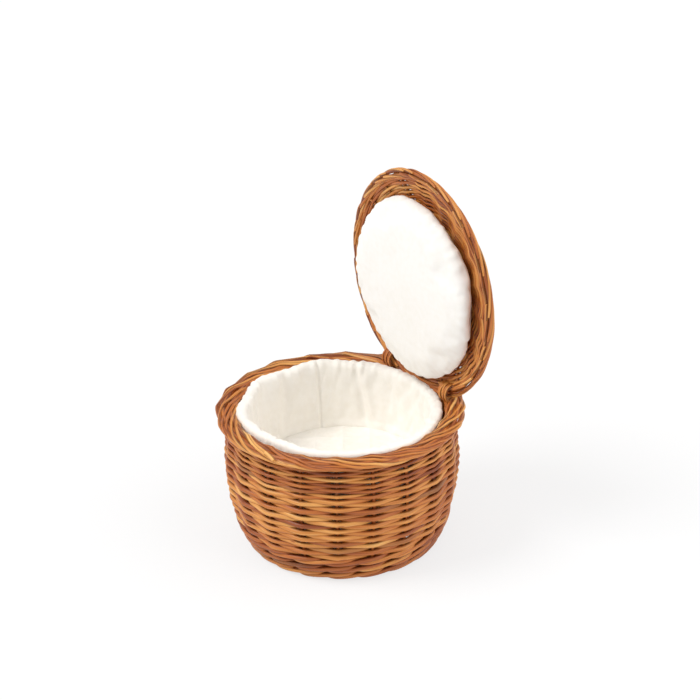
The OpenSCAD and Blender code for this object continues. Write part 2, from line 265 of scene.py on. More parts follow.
def linen_material(name, face, shade):
    """Bleached plain-weave cotton: fine crossing threads, soft slubs and a little sheen."""
    made, tree, shader = new_material(name, 0.9)
    shader.inputs["Sheen Weight"].default_value = 0.15
    shader.inputs["Sheen Roughness"].default_value = 0.5
    place = add_node(tree, "ShaderNodeTexCoord").outputs["Object"]
    heights = []
    for axis in "XYZ":
        wave = add_node(tree, "ShaderNodeTexWave",
                        {"Vector": place, "Scale": 360.0, "Distortion": 1.2, "Detail": 1.0},
                        wave_type="BANDS", bands_direction=axis)
        heights.append(wave.outputs["Fac"])
    weave = math_node(tree, "ADD", math_node(tree, "ADD", heights[0], heights[1]), heights[2])
    slub = add_node(tree, "ShaderNodeTexNoise", {"Vector": place, "Scale": 140.0, "Detail": 3.0}).outputs[0]
    soft = add_node(tree, "ShaderNodeTexNoise", {"Vector": place, "Scale": 14.0, "Detail": 2.0}).outputs[0]
    colour = ramp(tree, math_node(tree, "ADD", math_node(tree, "MULTIPLY", slub, 0.5),
                                  math_node(tree, "MULTIPLY", soft, 0.5)),
                  [(0.30, shade), (0.62, face)])
    tree.links.new(colour, shader.inputs["Base Color"])
    height = math_node(tree, "ADD", weave, math_node(tree, "MULTIPLY", slub, 2.0))
    bump = add_node(tree, "ShaderNodeBump", {"Strength": 0.25, "Distance": 0.0003, "Height": height})
    tree.links.new(bump.outputs[0], shader.inputs["Normal"])
    return made


WILLOW = willow_material("willow_rod")
WILLOW_WALL = willow_material("willow_wall_rod", -0.06)
WILLOW_DARK = willow_material("willow_rod_dark", -0.08)
WILLOW_PALE = willow_material("willow_rod_pale", 0.04)
# The stakes' willow is painted much darker than the other rods: painted shade, as the stakes show only in the
# shaded gaps of the weave.
WILLOW_STAKE_SHADED = willow_material("willow_stake_shaded", -0.20)
LINEN = linen_material("bleached_linen", linear(252, 250, 246), linear(247, 244, 237))
# The lining's linen, also used for the floor, is a little darker than the pad's: painted shade for the inside
# of the basket.
SHADED_LINING = linen_material("lining_linen_shaded", linear(252, 248, 241), linear(246, 241, 231))
WADDING = linen_material("cushion_cotton", linear(240, 235, 225), linear(228, 221, 208))


def rods_tree():
    """Geometry nodes: turns edge paths with a thick and a tone on every point into round rods."""
    tree = bpy.data.node_groups.new("willow_rods", "GeometryNodeTree")
    tree.interface.new_socket("Geometry", in_out="INPUT", socket_type="NodeSocketGeometry")
    for label, kind, value in (("Sides", "NodeSocketInt", 10), ("Wobble", "NodeSocketFloat", 0.0016),
                               ("Wobble Scale", "NodeSocketFloat", 24.0), ("Seed", "NodeSocketFloat", 3.0),
                               ("Material", "NodeSocketMaterial", None)):
        made = tree.interface.new_socket(label, in_out="INPUT", socket_type=kind)
        if value is not None:
            made.default_value = value
    tree.interface.new_socket("Geometry", in_out="OUTPUT", socket_type="NodeSocketGeometry")
    given = add_node(tree, "NodeGroupInput").outputs
    curve = add_node(tree, "GeometryNodeMeshToCurve", {"Mesh": given["Geometry"]}).outputs[0]
    place = add_node(tree, "GeometryNodeInputPosition").outputs[0]
    noise = add_node(tree, "ShaderNodeTexNoise",
                     {"Vector": place, "W": given["Seed"], "Scale": given["Wobble Scale"], "Detail": 1.0},
                     noise_dimensions="4D").outputs["Color"]
    shift = vector_node(tree, "SUBTRACT", noise, (0.5, 0.5, 0.5))
    shift = vector_node(tree, "SCALE", shift, given["Wobble"])
    curve = add_node(tree, "GeometryNodeSetPosition", {"Geometry": curve, "Offset": shift}).outputs[0]
    curve = add_node(tree, "GeometryNodeStoreNamedAttribute",
                     {"Geometry": curve, "Name": "middle", "Value": place},
                     data_type="FLOAT_VECTOR", domain="POINT").outputs[0]
    length = add_node(tree, "GeometryNodeSplineParameter").outputs["Length"]
    curve = add_node(tree, "GeometryNodeStoreNamedAttribute",
                     {"Geometry": curve, "Name": "along", "Value": length},
                     data_type="FLOAT", domain="POINT").outputs[0]
    thick = add_node(tree, "GeometryNodeInputNamedAttribute", {"Name": "thick"}, data_type="FLOAT").outputs[0]
    radius = math_node(tree, "MULTIPLY", thick, 0.5)
    curve = add_node(tree, "GeometryNodeSetCurveRadius", {"Curve": curve, "Radius": radius}).outputs[0]
    ring = add_node(tree, "GeometryNodeCurvePrimitiveCircle",
                    {"Resolution": given["Sides"], "Radius": 1.0}, mode="RADIUS").outputs[0]
    ring = add_node(tree, "GeometryNodeStoreNamedAttribute",
                    {"Geometry": ring, "Name": "across",
                     "Value": add_node(tree, "GeometryNodeInputPosition").outputs[0]},
                    data_type="FLOAT_VECTOR", domain="POINT").outputs[0]
    body = add_node(tree, "GeometryNodeCurveToMesh",
                    {"Curve": curve, "Profile Curve": ring, "Fill Caps": True,
                     "Scale": add_node(tree, "GeometryNodeInputRadius").outputs[0]})
    middle = add_node(tree, "GeometryNodeInputNamedAttribute", {"Name": "middle"},
                      data_type="FLOAT_VECTOR").outputs[0]
    # facing: how squarely a point of a rod faces out of or into the woven surface. The willow materials paint
    # shade where it is low, on the sides towards the neighbouring rods.
    outward = add_node(tree, "GeometryNodeInputNamedAttribute", {"Name": "outward"},
                       data_type="FLOAT_VECTOR").outputs[0]
    aside = add_node(tree, "ShaderNodeVectorMath", {0: vector_node(tree, "SUBTRACT", place, middle)},
                     operation="NORMALIZE").outputs[0]
    facing = add_node(tree, "ShaderNodeVectorMath", {0: aside, 1: outward},
                      operation="DOT_PRODUCT").outputs["Value"]
    facing = math_node(tree, "ABSOLUTE", facing)
    body = add_node(tree, "GeometryNodeStoreNamedAttribute",
                    {"Geometry": body.outputs[0], "Name": "facing", "Value": facing},
                    data_type="FLOAT", domain="POINT")
    made = add_node(tree, "GeometryNodeSetShadeSmooth", {"Geometry": body.outputs[0]}).outputs[0]
    made = add_node(tree, "GeometryNodeSetMaterial",
                    {"Geometry": made, "Material": given["Material"]}).outputs[0]
    made = add_node(tree, "GeometryNodeRealizeInstances", {"Geometry": made}).outputs[0]
    add_node(tree, "NodeGroupOutput", {"Geometry": made})
    return tree


RODS = rods_tree()


def show(name, mesh):
    made = bpy.data.objects.new(name, mesh)
    scene.collection.objects.link(made)
    return made


# Each of these gives, for points in millimetres, the direction in which a woven surface faces there.
def from_axis(p):
    return (p[:, 0], p[:, 1], 0 * p[:, 2])


def from_dome(p):
    return (p[:, 0], p[:, 1] - HINGE_Y - LID_RISE + DOME_R, p[:, 2] - HINGE_Z - HINGE_REACH)


def from_rim(p):
    out = 1 - RIM_R / np.hypot(p[:, 0], p[:, 1])
    return (p[:, 0] * out, p[:, 1] * out, (p[:, 2] - RIM_Z) * RIM_HALF[0] / RIM_HALF[1])


def from_lid_border(p):
    z = p[:, 2] - HINGE_Z - HINGE_REACH
    out = 1 - LID_MID_R / np.hypot(p[:, 0], z)
    return (p[:, 0] * out, p[:, 1] - HINGE_Y, z * out)


def from_hinge(p):
    return (0 * p[:, 0], p[:, 1] - HINGE_Y, p[:, 2] - HINGE_Z)


def from_base(p):
    return (0 * p[:, 0], 0 * p[:, 1], 1 + 0 * p[:, 2])


def rods(name, strands, body, material, nodes, outward, sides=10, wobble=0.0016):
    """One mesh of round rods. A strand is (points, thickness or thicknesses, tone), in millimetres.
    outward gives the direction in which the woven surface faces at each point."""
    points = []
    edges = []
    thick = []
    tone = []
    for path, widths, shade in strands:
        first = len(points)
        points += [tuple(c * MM for c in p) for p in path]
        edges += [(first + i, first + i + 1) for i in range(len(path) - 1)]
        widths = widths if isinstance(widths, (list, tuple)) else [widths] * len(path)
        thick += [w * MM for w in widths]
        tone += [shade] * len(path)
    mesh = bpy.data.meshes.new(name)
    mesh.from_pydata(points, edges, [])
    mesh.attributes.new("thick", "FLOAT", "POINT").data.foreach_set("value", thick)
    mesh.attributes.new("tone", "FLOAT", "POINT").data.foreach_set("value", tone)
    normals = np.stack(outward(np.array(points) / MM), 1)
    normals /= np.maximum(np.linalg.norm(normals, axis=1, keepdims=True), 1e-9)
    mesh.attributes.new("outward", "FLOAT_VECTOR", "POINT").data.foreach_set("vector", normals.ravel())
    made = show(name, mesh)
    modifier = made.modifiers.new("rods", "NODES")
    modifier.node_group = RODS
    for label, value in (("Sides", sides), ("Wobble", wobble), ("Material", material)):
        modifier[socket_id(RODS, label)] = value
    graph = bpy.context.evaluated_depsgraph_get()
    plain = bpy.data.meshes.new_from_object(made.evaluated_get(graph), preserve_all_data_layers=True,
                                            depsgraph=graph)
    made.modifiers.clear()
    made.data = plain
    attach(made, body)
    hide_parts(*nodes)
    return made


def taper(count, width, tip=0.8, end=2):
    """Thicknesses along a strand: a little thinner towards the tip, and rounded off at the ends."""
    out = []
    for i in range(count):
        t = i / (count - 1)
        near = min(i, count - 1 - i) / end
        out.append(width * (1 - (1 - tip) * t) * (0.72 + 0.28 * smooth(near)))
    return out


# How softly a rod turns at a stake, in bays, and how steeply it dives behind the next one.
PASS_ROUND = 0.07
PASS_DIVE = 2.4


def straight_pass(u, row):
    """pass_side before its turns are rounded. u counts the stakes round the basket."""
    away = abs((u - row + 1) % 2 - 1)
    if away < 0.5:
        return 1 - 2 * away
    return -(2 * away - 1) ** PASS_DIVE


def pass_side(u, row):
    """1 in front of every second stake and -1 behind the others. A stiff rod runs nearly straight
    from the stake in front of it to the middle of the bay, and dives close behind the next one."""
    return (straight_pass(u - PASS_ROUND, row) + 2 * straight_pass(u, row)
            + straight_pass(u + PASS_ROUND, row)) / 4


# The wall. A strand runs over several stakes and starts and ends behind one, inside the wall.
def wall_strands(rows, rod, reach, seed, per_bay=10):
    """Randing: every row passes in front of one stake and behind the next."""
    rng = np.random.default_rng(seed)
    out = []
    for row, z in rows:
        k = row % 2 + 1 + 2 * int(rng.integers(0, 9))
        left = STAKES
        while left > 0:
            bays = min(left, int(rng.choice([6, 8, 10])))
            if left - bays in (2, 4):
                bays = left
            lift = rng.normal(0, 0.35)
            width = rod * rng.uniform(0.86, 1.10)
            swell = rng.uniform(0.95, 1.06)
            path = []
            for i in range(-2, bays * per_bay + 3):
                u = k + i / per_bay
                r = wall_r(z) + reach * swell * pass_side(u, row)
                path.append(polar(r, math.pi * u / (STAKES / 2), z + lift))
            out.append((path, taper(len(path), width, rng.uniform(0.84, 0.98)), float(rng.uniform(0, 1))))
            k += bays
            left -= bays
    return out


def wale_strands(levels, rod, reach, slant, seed, per_bay=8):
    """Waling: rods in front of two stakes and behind one, each slanting over the ones before it.
    One row's rods make one path of three rounds, cut into strands."""
    rng = np.random.default_rng(seed)
    out = []
    for row, z in enumerate(levels):
        u = row
        end = row + 3 * STAKES
        while u < end:
            bays = min(end - u, int(rng.choice([9, 12, 15])))
            width = rod * rng.uniform(0.92, 1.05)
            lift = rng.normal(0, 0.25)
            path = []
            steps = bays * per_bay
            for i in range(steps + 1):
                v = u + bays * i / steps
                turn = 2 * math.pi * (v - row - 1.5) / 3
                side = math.tanh(2.0 * (math.cos(turn) + 0.42))
                high = max(z + lift + slant * math.sin(turn), rod * 0.52)
                path.append(polar(wall_r(high) + reach * side, math.pi * v / (STAKES / 2), high))
            out.append((path, taper(len(path), width, rng.uniform(0.85, 0.98)), float(rng.uniform(0, 1))))
            u += bays
    return out


WALE_LEVELS = [6.3, 18.4, 30.8]
LOW_ROWS = 17
LOWER_ROWS = 8
LOW_PITCH = 5
FINE_ROWS = 12
FINE_PITCH = 3.4
low_rows = [(i, FOOT_TOP + LOW_PITCH * (i + 0.5)) for i in range(LOW_ROWS)]
fine_rows = [(LOW_ROWS + i, FINE_FROM + FINE_PITCH * (i + 0.5)) for i in range(FINE_ROWS)]
rods("foot_wale_rods", wale_strands(WALE_LEVELS, rod=6.4, reach=4.8, slant=3.0, seed=11), "basket",
     WILLOW_DARK, ["foot_wale"], from_axis, wobble=0.0010)
rods("wall_rods_lower", wall_strands(low_rows[:LOWER_ROWS], rod=6.9, reach=4.2, seed=21), "basket",
     WILLOW_WALL, ["side_weave_lower"], from_axis)
rods("wall_rods_middle", wall_strands(low_rows[LOWER_ROWS:], rod=6.8, reach=4.2, seed=22), "basket",
     WILLOW_WALL, ["side_weave_middle"], from_axis)
rods("wall_rods_fine", wall_strands(fine_rows, rod=4.8, reach=3.6, seed=23), "basket",
     WILLOW_WALL, ["side_weave_upper"], from_axis)

STAKE_ROD = 5.0
STAKE_FROM = 2.6
STAKE_LENGTH = 158.4
STAKE_STEPS = 32
stake_rng = np.random.default_rng(31)
stake_strands = []
for k in range(STAKES):
    path = []
    for i in range(STAKE_STEPS + 1):
        z = STAKE_FROM + STAKE_LENGTH * i / STAKE_STEPS
        path.append(polar(wall_r(z), 2 * math.pi * k / STAKES, z))
    stake_strands.append((path, taper(len(path), STAKE_ROD, 0.94), float(stake_rng.uniform(0.2, 0.8))))
# The stakes take the darker willow with painted shade.
rods("stake_rods", stake_strands, "basket", WILLOW_STAKE_SHADED, ["stakes"], from_axis)


def wound_border(count, span, middle_r, middle_z, half, rod, seed, turn=(4.6, -0.95), bump=0.0,
                 spread=0.0, steps=60):
    """Rods rolled round a border, each from below the inside, over the top and down outside, while
    it runs span degrees round the basket. The border rises by bump over every stake and is wider
    outside by spread."""
    rng = np.random.default_rng(seed)
    out = []
    for i in range(count):
        start = 2 * math.pi * (i + (0.12 if i % 2 else -0.12) + rng.normal(0, 0.06)) / count
        width = rod * rng.uniform(0.88, 1.14)
        wide = half[0] - width / 2 + rng.uniform(-0.6, 0.1)
        tall = half[1] - width / 2 + rng.uniform(-0.3, 0.1)
        path = []
        length = math.radians(span * rng.uniform(0.92, 1.08))
        for j in range(steps + 1):
            t = j / steps
            phi = turn[0] + (turn[1] - turn[0]) * t
            angle = start + length * t
            hump = bump * (1 - 2 * abs(math.sin(STAKES / 2 * angle)) + 0.4 * math.cos(7 * angle + seed))
            out_r = middle_r + (wide + spread * max(math.cos(phi), 0) + hump * 0.5) * math.cos(phi)
            path.append(polar(out_r, angle, middle_z + hump * 0.7 + tall * math.sin(phi)))
        out.append((path, taper(len(path), width, 0.86), float(rng.uniform(0, 1))))
    return out


def border_core(places, middle_r, middle_z, rod, seed):
    """The bent-down ends that run round inside a border and fill it. A place is how far a rod lies
    outwards and upwards from the border's middle line."""
    rng = np.random.default_rng(seed)
    out = []
    for over, up in places:
        sway = rng.uniform(0, 2 * math.pi)
        path = [polar(middle_r + over + 0.5 * math.sin(7 * angle + sway), angle,
                      middle_z + up + 0.4 * math.sin(11 * angle + sway))
                for angle in np.linspace(sway, sway + 2 * math.pi, 161)]
        out.append((path, [rod] * len(path), float(rng.uniform(0, 0.1))))
    return out


def clear_of_lid(path, rod):
    """Moves the points that the lid's border would meet in its swing out of its way."""
    out = []
    for x, y, z in path:
        room = max((LID_R + 2) ** 2 - x * x, 0) ** 0.5 - HINGE_REACH
        if room > 0 and y > 0:
            dy = y - HINGE_Y
            dz = z - HINGE_Z
            away = math.hypot(dy, dz)
            need = room + rod / 2
            if away < need:
                y = HINGE_Y + dy / away * need
                z = HINGE_Z + dz / away * need
        out.append((x, y, z))
    return out


RIM_ROD = 4.5
RIM_CORE_ROD = 5.5
rim_wound = wound_border(36, 82, RIM_R, RIM_Z, RIM_HALF, RIM_ROD, seed=41, bump=1.4, spread=RIM_SPREAD)
rim_inner = border_core(RIM_CORE, RIM_R, RIM_Z, RIM_CORE_ROD, seed=45)
rim_strands = [(clear_of_lid(path, RIM_ROD), widths, tone) for path, widths, tone in rim_wound]
rim_strands += [(clear_of_lid(path, RIM_CORE_ROD), widths, tone) for path, widths, tone in rim_inner]
# One short rod, cut off square, lies on the rim and points down over its outside.
cut_end = [polar(146.5 + 6 * t, math.radians(-70 + 6 * t), 174.5 - 3 * t * t) for t in np.linspace(0, 1, 9)]
rim_strands.append((cut_end, [4.8] * 8 + [4.4], 0.95))
rods("rim_border_rods", rim_strands, "basket", WILLOW_PALE, ["rim_border"], from_rim,
     wobble=0.0014)


# The lid.
def on_dome(r, angle, push):
    """A point of the lid over radius r, pushed out from the dome along its normal."""
    slope = math.asin(min(r / DOME_R, 1))
    return polar(r + push * math.sin(slope), angle, dome_z(r) + push * math.cos(slope))


def round_strands(place, r, row, count, rod, reach, rng, first=0.0, last=None, per_bay=10):
    """One row woven over and under count sticks, as strands. place(r, angle, push) gives a point."""
    out = []
    k = first
    last = first + count if last is None else last
    while k < last - 0.01:
        bays = min(last - k, float(rng.choice([4, 6, 8])))
        if last - k - bays < 3:
            bays = last - k
        width = rod * rng.uniform(0.90, 1.08)
        steps = max(int(bays * per_bay), 8)
        shift = rng.normal(0, 0.2)
        path = []
        for i in range(steps + 1):
            u = k + bays * i / steps
            path.append(place(r + shift, 2 * math.pi * u / count, reach * pass_side(u, row)))
        out.append((path, taper(len(path), width, rng.uniform(0.85, 0.98)), float(rng.uniform(0, 1))))
        k += bays
    return out


def lid_strands(strands):
    return [([lid_place(p) for p in path], widths, tone) for path, widths, tone in strands]


LID_STICKS = 20
LID_CENTRE_STICKS = 10
LID_PITCH = 3.1
LID_ROW_R = 128.2
# The outermost rows, below row 1, leave out the two loops. Each of their stretches is given in
# sticks round the lid.
BESIDE_LOOPS = [(6.76, 23.24), (3.76, 6.24)]
EDGE_ROWS_END = 5
lid_rng = np.random.default_rng(51)
edge_strands = []
outer_strands = []
for row in range(-2, 21):
    r = LID_ROW_R - LID_PITCH * row
    if row < 1:
        reach = 3.0 if row == 0 else 1.2
        for first, last in BESIDE_LOOPS:
            edge_strands += round_strands(on_dome, r, row, LID_STICKS, 4.4, reach, lid_rng, first, last)
    else:
        first = row % 2 + 1 + 2 * (row % 5)
        strands = round_strands(on_dome, r, row, LID_STICKS, 4.9, 3.0, lid_rng, first)
        if row < EDGE_ROWS_END:
            edge_strands += strands
        else:
            outer_strands += strands
rods("lid_edge_rods", lid_strands(edge_strands), "lid", WILLOW, ["lid_weave_edge"], from_dome)
rods("lid_outer_rods", lid_strands(outer_strands), "lid", WILLOW, ["lid_weave_outer"], from_dome)
centre_strands = []
for row in range(11):
    centre_strands += round_strands(on_dome, LID_SPLIT_R - 3.85 * row, row, LID_CENTRE_STICKS, 4.8, 4.7,
                                    lid_rng, row % 2 + 1, per_bay=14)

# A cross of sticks fans out to ten spokes, a tenth of a turn apart.
SPOKE = 36
FAN_FROM = 7
FAN_OVER = 13
LAYERS_FROM = 10
LAYERS_OVER = 16


def cross_sticks(place, end_r, rod, offsets, layer, seed):
    """Five long sticks: three side by side over two, which fan out to ten spokes. offsets are how
    far apart the three and the two lie, and layer is half the height between them."""
    rng = np.random.default_rng(seed)
    out = []
    pairs = [(-36, -144, -offsets[0], 0), (0, 180, 0, 0), (36, 144, offsets[0], 0),
             (72, -72, offsets[1], 1), (108, -108, -offsets[1], 1)]
    for one, other, aside, across in pairs:
        path = []
        for i in range(-40, 41):
            s = end_r * i / 40
            away = abs(s)
            spoke = math.radians(one if s > 0 else other)
            straight = (aside, s) if across else (s, aside)
            mix = smooth((away - FAN_FROM) / FAN_OVER)
            x = straight[0] + (away * math.cos(spoke) - straight[0]) * mix
            y = straight[1] + (away * math.sin(spoke) - straight[1]) * mix
            push = (-layer if across else layer) * (1 - smooth((away - LAYERS_FROM) / LAYERS_OVER))
            path.append(place(math.hypot(x, y), math.atan2(y, x) + math.radians(SPOKE), push))
        out.append((path, [rod] * len(path), float(rng.uniform(0.2, 0.8))))
    return out


def binding(place, radii, rod, high, seed, per_turn=36):
    """Turns of thin rod that hold the crossed sticks: over the three, under the two."""
    rng = np.random.default_rng(seed)
    path = []
    steps = per_turn * len(radii)
    for i in range(steps + 1):
        t = i / per_turn
        angle = 2 * math.pi * t
        r = radii[0] + (radii[-1] - radii[0]) * i / steps
        square = 1 + 0.06 * math.cos(4 * angle)
        path.append(place(r * square, angle + math.radians(SPOKE), high * math.cos(2 * angle)))
    return [(path, [rod] * len(path), float(rng.uniform(0.3, 0.7)))]


centre_strands += binding(on_dome, [11.5, 15, 18.5], rod=3.4, high=6.0, seed=63)
rods("lid_centre_rods", lid_strands(centre_strands), "lid", WILLOW, ["lid_weave_centre"], from_dome)
LID_STICK_ROD = 4.5
lid_cross = cross_sticks(on_dome, LID_STICK_R, LID_STICK_ROD, offsets=(4.7, 2.4), layer=2.3, seed=61)
rods("lid_stick_rods", lid_strands(lid_cross), "lid", WILLOW_DARK, ["lid_sticks"], from_dome)
# Bye-sticks stand halfway between the spokes.
BYE_LENGTH = 67
bye_strands = []
for i in range(LID_CENTRE_STICKS):
    turn = math.radians(SPOKE * i + SPOKE / 2)
    path = [on_dome(LID_SPLIT_R + BYE_LENGTH * j / 20, turn, 0) for j in range(21)]
    bye_strands.append((path, taper(len(path), LID_STICK_ROD, 0.95), float(lid_rng.uniform(0.2, 0.8))))
rods("lid_bye_rods", lid_strands(bye_strands), "lid", WILLOW_DARK, ["lid_bye_sticks"],
     from_dome)
border = wound_border(30, 78, LID_MID_R, 0, LID_HALF, rod=4.1, seed=43)
border += border_core(LID_CORE, LID_MID_R, 0, rod=4.4, seed=47)
rods("lid_border_rods", lid_strands(border), "lid", WILLOW, ["lid_border"], from_lid_border,
     wobble=0.0012)


# The base.
def on_base(r, angle, push):
    return polar(r, angle, BASE_Z + push)


BASE_ROWS = 15
BASE_ROW_R = 24.8
BASE_PITCH = 5.4
BASE_STICKS = 10
BASE_STICK_R = 104
base_rng = np.random.default_rng(71)
base_strands = []
for row in range(BASE_ROWS):
    base_strands += round_strands(on_base, BASE_ROW_R + BASE_PITCH * row, row, BASE_STICKS, 5.2, 5.5,
                                  base_rng, row % 2 + 1, per_bay=14)
base_strands += binding(on_base, [12, 16, 20], rod=3.4, high=7.2, seed=73)
rods("base_weave_rods", base_strands, "basket", WILLOW, ["base_weave"], from_base, wobble=0.0010)
base_cross = cross_sticks(on_base, BASE_STICK_R, rod=6, offsets=(6.2, 3.1), layer=3.1, seed=75)
rods("base_stick_rods", base_cross, "basket", WILLOW_DARK, ["base_sticks"], from_base,
     wobble=0.0010)


LOOP_ROD = 3.4
LOOP_R = 11.1
LOOP_WIDTH = 15.0
LOOP_TURNS = 4.6
# How much nearer the middle the loops lie than in the solids.
LOOP_IN = 3


def hinge_loop(side, seed, steps=140):
    """A loop of several untidy turns round the hinge line."""
    rng = np.random.default_rng(seed)
    path = []
    for i in range(steps + 1):
        t = i / steps
        angle = 2 * math.pi * LOOP_TURNS * t + 0.8
        r = LOOP_R + 0.35 * math.sin(angle * 0.37 + seed) + 0.2 * math.sin(angle * 2.3)
        x = side * (LOOP_X - LOOP_IN) + (t - 0.5) * LOOP_WIDTH + 1.5 * math.sin(angle * 0.5 + seed)
        path.append((x, HINGE_Y + r * math.cos(angle), HINGE_Z + r * math.sin(angle)))
    return [(path, taper(len(path), LOOP_ROD, 0.9), float(rng.uniform(0.4, 0.9)))]


rods("hinge_loop_rod_left", hinge_loop(-1, 2), "basket", WILLOW_DARK, ["hinge_loop_left"],
     from_hinge, wobble=0.0004)
rods("hinge_loop_rod_right", hinge_loop(1, 5), "basket", WILLOW_DARK, ["hinge_loop_right"],
     from_hinge, wobble=0.0004)


# Linen pieces. A turned piece is a profile of (radius, height) points swept round the axis.
def along_profile(profile, count, closed):
    """The profile's points again, evenly spaced along it."""
    points = np.array(profile + profile[:1] if closed else profile, float)
    steps = np.hypot(*np.diff(points, axis=0).T)
    reached = np.concatenate([[0], np.cumsum(steps)])
    wanted = np.linspace(0, reached[-1], count + 1 if closed else count)
    if closed:
        wanted = wanted[:-1]
    return np.stack([np.interp(wanted, reached, points[:, i]) for i in (0, 1)], 1)


def rounded(profile, closed, times=2):
    """Corners cut off, as cloth rounds them."""
    for _ in range(times):
        out = []
        count = len(profile)
        for i in range(count if closed else count - 1):
            a = profile[i]
            b = profile[(i + 1) % count]
            out.append((a[0] * 0.75 + b[0] * 0.25, a[1] * 0.75 + b[1] * 0.25))
            out.append((a[0] * 0.25 + b[0] * 0.75, a[1] * 0.25 + b[1] * 0.75))
        if not closed:
            out = [profile[0]] + out + [profile[-1]]
        profile = out
    return profile


# How much the lining rises for each millimetre that it spreads out over the rim.
OVER_RIM = 0.4


def turned(name, profile, closed, around, count, push, spread=None):
    """A soft piece turned about the axis. push(angles, radii, heights) gives how far each point
    stands out from the plain shape, along its normal, and spread(angles, heights) how much further
    from the axis it lies, in millimetres."""
    line = along_profile(profile, count, closed)
    if closed:
        ahead, behind = np.roll(line, -1, 0), np.roll(line, 1, 0)
    else:
        ahead = np.vstack([line[1:], line[-1:]])
        behind = np.vstack([line[:1], line[:-1]])
    tangent = ahead - behind
    tangent /= np.maximum(np.hypot(*tangent.T), 1e-9)[:, None]
    normal = np.stack([tangent[:, 1], -tangent[:, 0]], 1)
    angles = np.linspace(0, 2 * math.pi, around, endpoint=False)
    grid_a, grid_r = np.meshgrid(angles, line[:, 0], indexing="ij")
    grid_z = np.broadcast_to(line[:, 1], grid_r.shape)
    out = push(grid_a, grid_r, grid_z)
    r = grid_r + out * normal[:, 0]
    z = grid_z + out * normal[:, 1]
    if spread:
        wider = spread(grid_a, grid_z)
        r = r + wider
        z = z + OVER_RIM * np.maximum(wider, 0)
    points = np.stack([r * np.cos(grid_a), r * np.sin(grid_a), z], 2).reshape(-1, 3)
    faces = []
    span = count if closed else count - 1
    for i in range(around):
        nxt = (i + 1) % around
        for j in range(span):
            up = (j + 1) % count
            faces.append((i * count + j, nxt * count + j, nxt * count + up, i * count + up))
    mesh = bpy.data.meshes.new(name)
    mesh.from_pydata((points * MM).tolist(), [], faces)
    made = show(name, mesh)
    tidy(made)
    return made


def tidy(piece):
    """Joins the points that meet on the axis, turns the faces outwards and shades them smooth."""
    work = bmesh.new()
    work.from_mesh(piece.data)
    bmesh.ops.remove_doubles(work, verts=work.verts, dist=0.00002)
    bmesh.ops.recalc_face_normals(work, faces=work.faces)
    work.to_mesh(piece.data)
    work.free()
    for face in piece.data.polygons:
        face.use_smooth = True


def waves(angles, rng, counts, size):
    """A sum of waves round the basket with random places."""
    out = np.zeros_like(angles)
    for n in counts:
        out += rng.normal(0, 1) * np.cos(n * angles + rng.uniform(0, 2 * math.pi)) / len(counts) ** 0.5
    return out * size


def crease(angles, at, width_mm, radius=107.0):
    """1 on a line down the wall at an angle in degrees, falling away to 0 over a width."""
    away = np.angle(np.exp(1j * (angles - math.radians(at)))) * radius
    return np.exp(-(away / width_mm) ** 2)


# Where the lining's seam is, in degrees round the basket, and the height of its foot.
SEAM_AT = 161
LINING_FOOT = 86.6
# Each fold: degrees round the basket, lean per millimetre of height, depth and half width.
LONG_FOLDS = [(196, 0.0012, 3.6, 9), (188, 0.0014, -2.8, 6), (176, -0.0004, 2.2, 10),
              (133, -0.0018, -2.8, 4.5), (127, -0.0020, 2.4, 6), (146, 0.0008, 1.5, 8),
              (112, 0.0014, -1.2, 5), (98, -0.0010, 1.8, 8), (80, 0.0012, 1.0, 5),
              (62, -0.0008, 1.4, 8), (214, -0.0006, -1.8, 6), (232, 0.0008, 1.6, 9)]
# Each place: degrees round the basket, how far out, and half width.
EDGE_PLACES = [(201, 6.5, 32), (160, 6.5, 34), (240, 4.5, 26), (8, 5.5, 34), (286, -4.5, 36),
               (322, -1.5, 20), (128, 2.5, 26)]
lining_profile = rounded([(117.4, LINING_FOOT), (120.0, 110), (121.8, 135), (122.6, 160), (122.6, 173.4),
                          (108.2, 172.2), (106.9, 158), (105.9, 135), (104.1, 110), (102.2, LINING_FOOT)],
                         True, 3)


def lining_push(a, r, z):
    """Waves, short creases, long folds, the seam and the foot that closes on the floor, all on the
    lining's inner face, and puckers along its edge."""
    rng = np.random.default_rng(81)
    inner = 1 / (1 + np.exp((r - 112.5) / 1.2))
    high = np.clip((z - 92) / 80, 0, 1)
    out = waves(a, rng, range(5, 17), 0.8) * (0.3 + high)
    out += waves(a, rng, range(18, 46, 3), 0.45) * (0.3 + 0.7 * high)
    out += waves(a + z * 0.006, rng, range(9, 30, 2), 0.5) * np.sin(z * 0.05)
    for _ in range(26):
        at = rng.uniform(0, 360)
        lean = rng.normal(0, 0.35)
        middle = rng.uniform(100, 168)
        tall = rng.uniform(14, 40)
        depth = rng.uniform(0.5, 1.7) * rng.choice([-1, -1, 1])
        line = crease(a + (z - middle) * lean * 0.01, at, rng.uniform(1.8, 4.5))
        out += depth * line * np.exp(-((z - middle) / tall) ** 2)
    for at, lean, depth, width in LONG_FOLDS:
        line = crease(a + (z - 130) * lean, at, width)
        out += depth * line * np.clip((z - 84) / 24, 0, 1)
    out -= 2.0 * crease(a, SEAM_AT, 1.3)
    out += 1.1 * crease(a, SEAM_AT + 2.2, 2.4)
    out += 4.5 * np.clip((100 - z) / 12, 0, 1)
    puckers = waves(a, rng, range(34, 80, 5), 0.5) * np.clip((z - 156) / 12, 0, 1)
    return out * inner + puckers + waves(a, rng, range(24, 60, 5), 0.18) * (1 - inner)


def edge_shift(a, z):
    """How far the cloth's edge stands out from a plain circle: corners where it is tacked, and
    one stretch at the front drawn in."""
    out = np.zeros_like(a)
    for at, far, width in EDGE_PLACES:
        out += far * crease(a, at, width, 120.0)
    return out * np.clip((z - 120) / 48, 0, 1) ** 1.5


